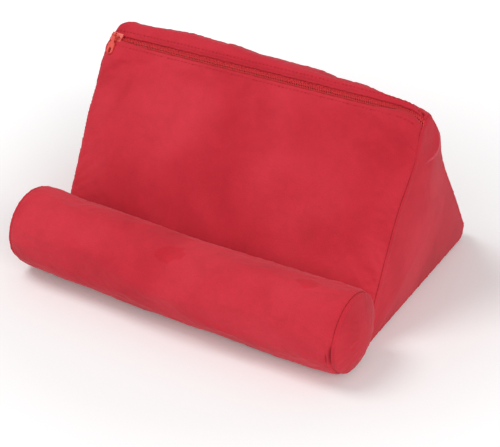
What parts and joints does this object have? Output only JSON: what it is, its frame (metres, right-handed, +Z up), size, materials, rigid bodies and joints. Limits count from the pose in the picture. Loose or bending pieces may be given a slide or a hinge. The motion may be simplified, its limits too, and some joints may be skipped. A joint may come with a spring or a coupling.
{
  "type": "tablet cushion stand",
  "caption": "Foam filled fabric wedge with a bolster roll along its front foot, which holds a tablet leaning on the sloping face, and a zipper along the ridge.",
  "frame": {"origin": "on the floor, under the middle of the object's box", "axes": "+X to the object's right along the roll, +Y towards the back of the wedge, +Z up"},
  "size_m": [0.3, 0.234, 0.16],
  "materials": {
    "microsuede": "soft napped suede cloth",
    "foam": "open cell foam",
    "zip_tape": "woven tape",
    "zip_nylon": "satin nylon",
    "lacquered_metal": "glossy lacquer"
  },
  "bodies": {
    "stand": {"front_panel": "microsuede", "back_panel": "microsuede", "base_panel": "microsuede", "side_panel_left": "microsuede", "side_panel_right": "microsuede", "wedge_foam": "foam", "roll_sleeve": "microsuede", "roll_end_left": "microsuede", "roll_end_right": "microsuede", "roll_filling": "foam", "zip_tape_front": "zip_tape", "zip_tape_back": "zip_tape", "zip_teeth_front": "zip_nylon", "zip_teeth_back": "zip_nylon", "zip_slider": "lacquered_metal"},
    "pull": {"zip_pull": "lacquered_metal"}
  },
  "joints": [
    {"name": "pull_swing", "type": "hinge", "parent": "stand", "child": "pull", "pos_m": [-0.1293, 0.02507, 0.15572], "axis": [-0.9998, 0, 0.0184], "range_deg": [0, 150]}
  ]
}
